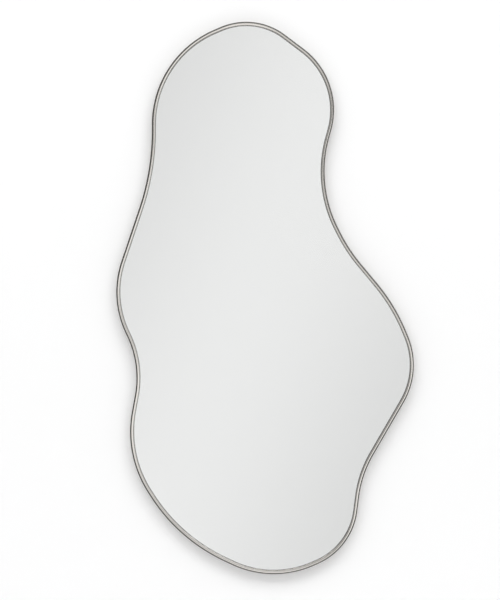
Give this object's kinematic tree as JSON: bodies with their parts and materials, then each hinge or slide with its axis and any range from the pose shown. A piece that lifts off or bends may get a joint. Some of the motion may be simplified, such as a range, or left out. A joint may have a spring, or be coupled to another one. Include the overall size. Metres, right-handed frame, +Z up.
{
  "type": "irregular shaped mirror",
  "caption": "Large wall mirror of a soft irregular pebble outline in a slim rounded brushed-metal frame, on a back board with angle clips, hinged D-ring hangers and rubber wall bumpers.",
  "frame": {"origin": "on the wall's face, midway between the two hanging points at the insides of the D-rings' bows", "axes": "+Z up, the mirror's front faces -Y, the wall's face is the plane y = 0, +X to the viewer's right"},
  "size_m": [0.7539, 0.027, 1.399],
  "materials": {
    "brushed_frame": "fine brushed along its length, warm nickel tone, satin",
    "mill_aluminium": "mill finish",
    "bracket_steel": "zinc plated",
    "gasket_foam": "black closed-cell foam",
    "clear_glass": "polished float glass",
    "mirror_silver": "silvered, painted grey at the back",
    "safety_film": "thin woven splinter film",
    "foam_tape": "white foam tape",
    "back_board": "raw fibre board",
    "bumper_rubber": "matt black rubber",
    "screw_zinc": "bright zinc",
    "hanger_zinc": "bright zinc"
  },
  "bodies": {
    "mirror": {"frame_run_left": "brushed_frame", "frame_run_right": "brushed_frame", "joint_spigot_top": "mill_aluminium", "joint_spigot_bottom": "mill_aluminium", "seam_plate_top": "bracket_steel", "seam_plate_bottom": "bracket_steel", "glazing_gasket": "gasket_foam", "mirror_glass": "clear_glass", "silver_backing": "mirror_silver", "safety_film": "safety_film", "back_board": "back_board", "tape_crown": "foam_tape", "tape_shoulder": "foam_tape", "tape_waist": "foam_tape", "tape_belly": "foam_tape", "tape_hip": "foam_tape", "tape_foot": "foam_tape", "bumper_upper_left": "bumper_rubber", "bumper_upper_right": "bumper_rubber", "bumper_lower_left": "bumper_rubber", "bumper_lower_right": "bumper_rubber", "clip_right_shoulder": "bracket_steel", "clip_left_shoulder": "bracket_steel", "clip_left_flank": "bracket_steel", "clip_left_hip": "bracket_steel", "clip_foot": "bracket_steel", "clip_right_heel": "bracket_steel", "clip_right_belly": "bracket_steel", "clip_right_waist": "bracket_steel", "clip_screws": "screw_zinc", "hanger_screws": "screw_zinc", "hanger_strap_left": "hanger_zinc", "hanger_strap_right": "hanger_zinc"},
    "ring_left": {"hanger_ring_left": "hanger_zinc"},
    "ring_right": {"hanger_ring_right": "hanger_zinc"}
  },
  "joints": [
    {"name": "ring_left_hinge", "type": "hinge", "parent": "mirror", "child": "ring_left", "pos_m": [-0.14, -0.00312, -0.016], "axis": [-1, 0, 0], "range_deg": [-3, 175]},
    {"name": "ring_right_hinge", "type": "hinge", "parent": "mirror", "child": "ring_right", "pos_m": [0.14, -0.00312, -0.016], "axis": [-1, 0, 0], "range_deg": [-3, 175]}
  ]
}
